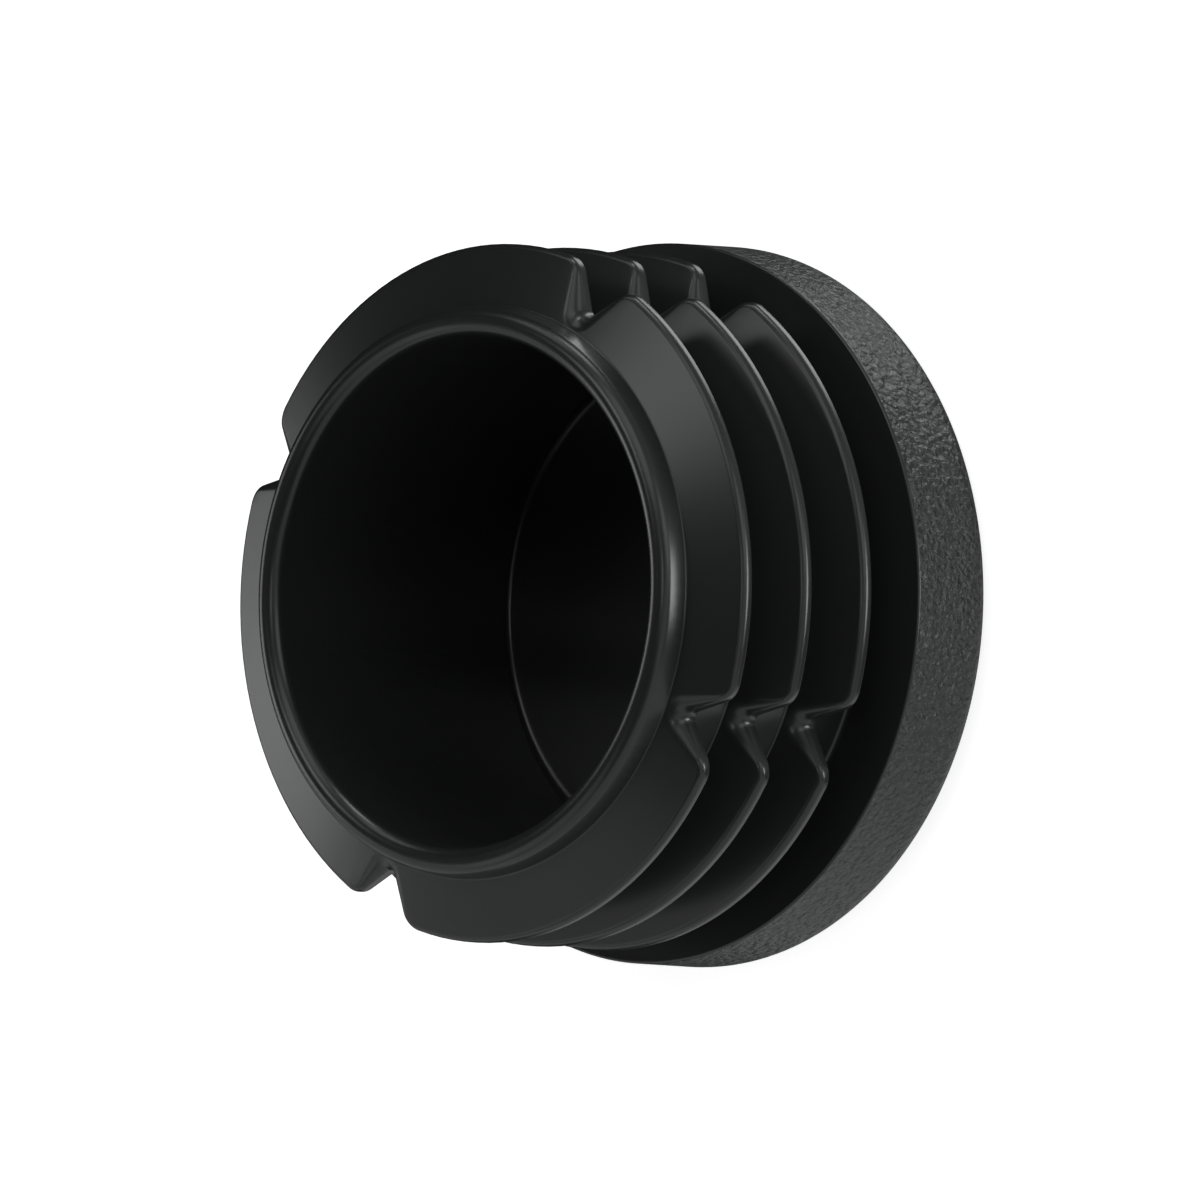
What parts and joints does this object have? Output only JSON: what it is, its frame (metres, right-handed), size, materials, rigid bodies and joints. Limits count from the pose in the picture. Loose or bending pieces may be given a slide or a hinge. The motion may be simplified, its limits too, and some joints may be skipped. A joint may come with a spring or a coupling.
{
  "type": "tube end cap",
  "caption": "Moulded plastic end cap for a round tube: a thick disc head closes the tube, and a hollow plug with notched lamellae grips its bore.",
  "frame": {"origin": "centre of the head's flat outer face, on which the cap stands", "axes": "+Z along the plug's axis, from the outer face towards the open mouth; +X through the middle of one notch of each lamella"},
  "size_m": [0.05, 0.05, 0.028],
  "materials": {
    "cap_plastic": "black, semi-matt as moulded, with a fine grain on the side wall of the head"
  },
  "bodies": {
    "root": {"end_cap": "cap_plastic"}
  },
  "joints": []
}
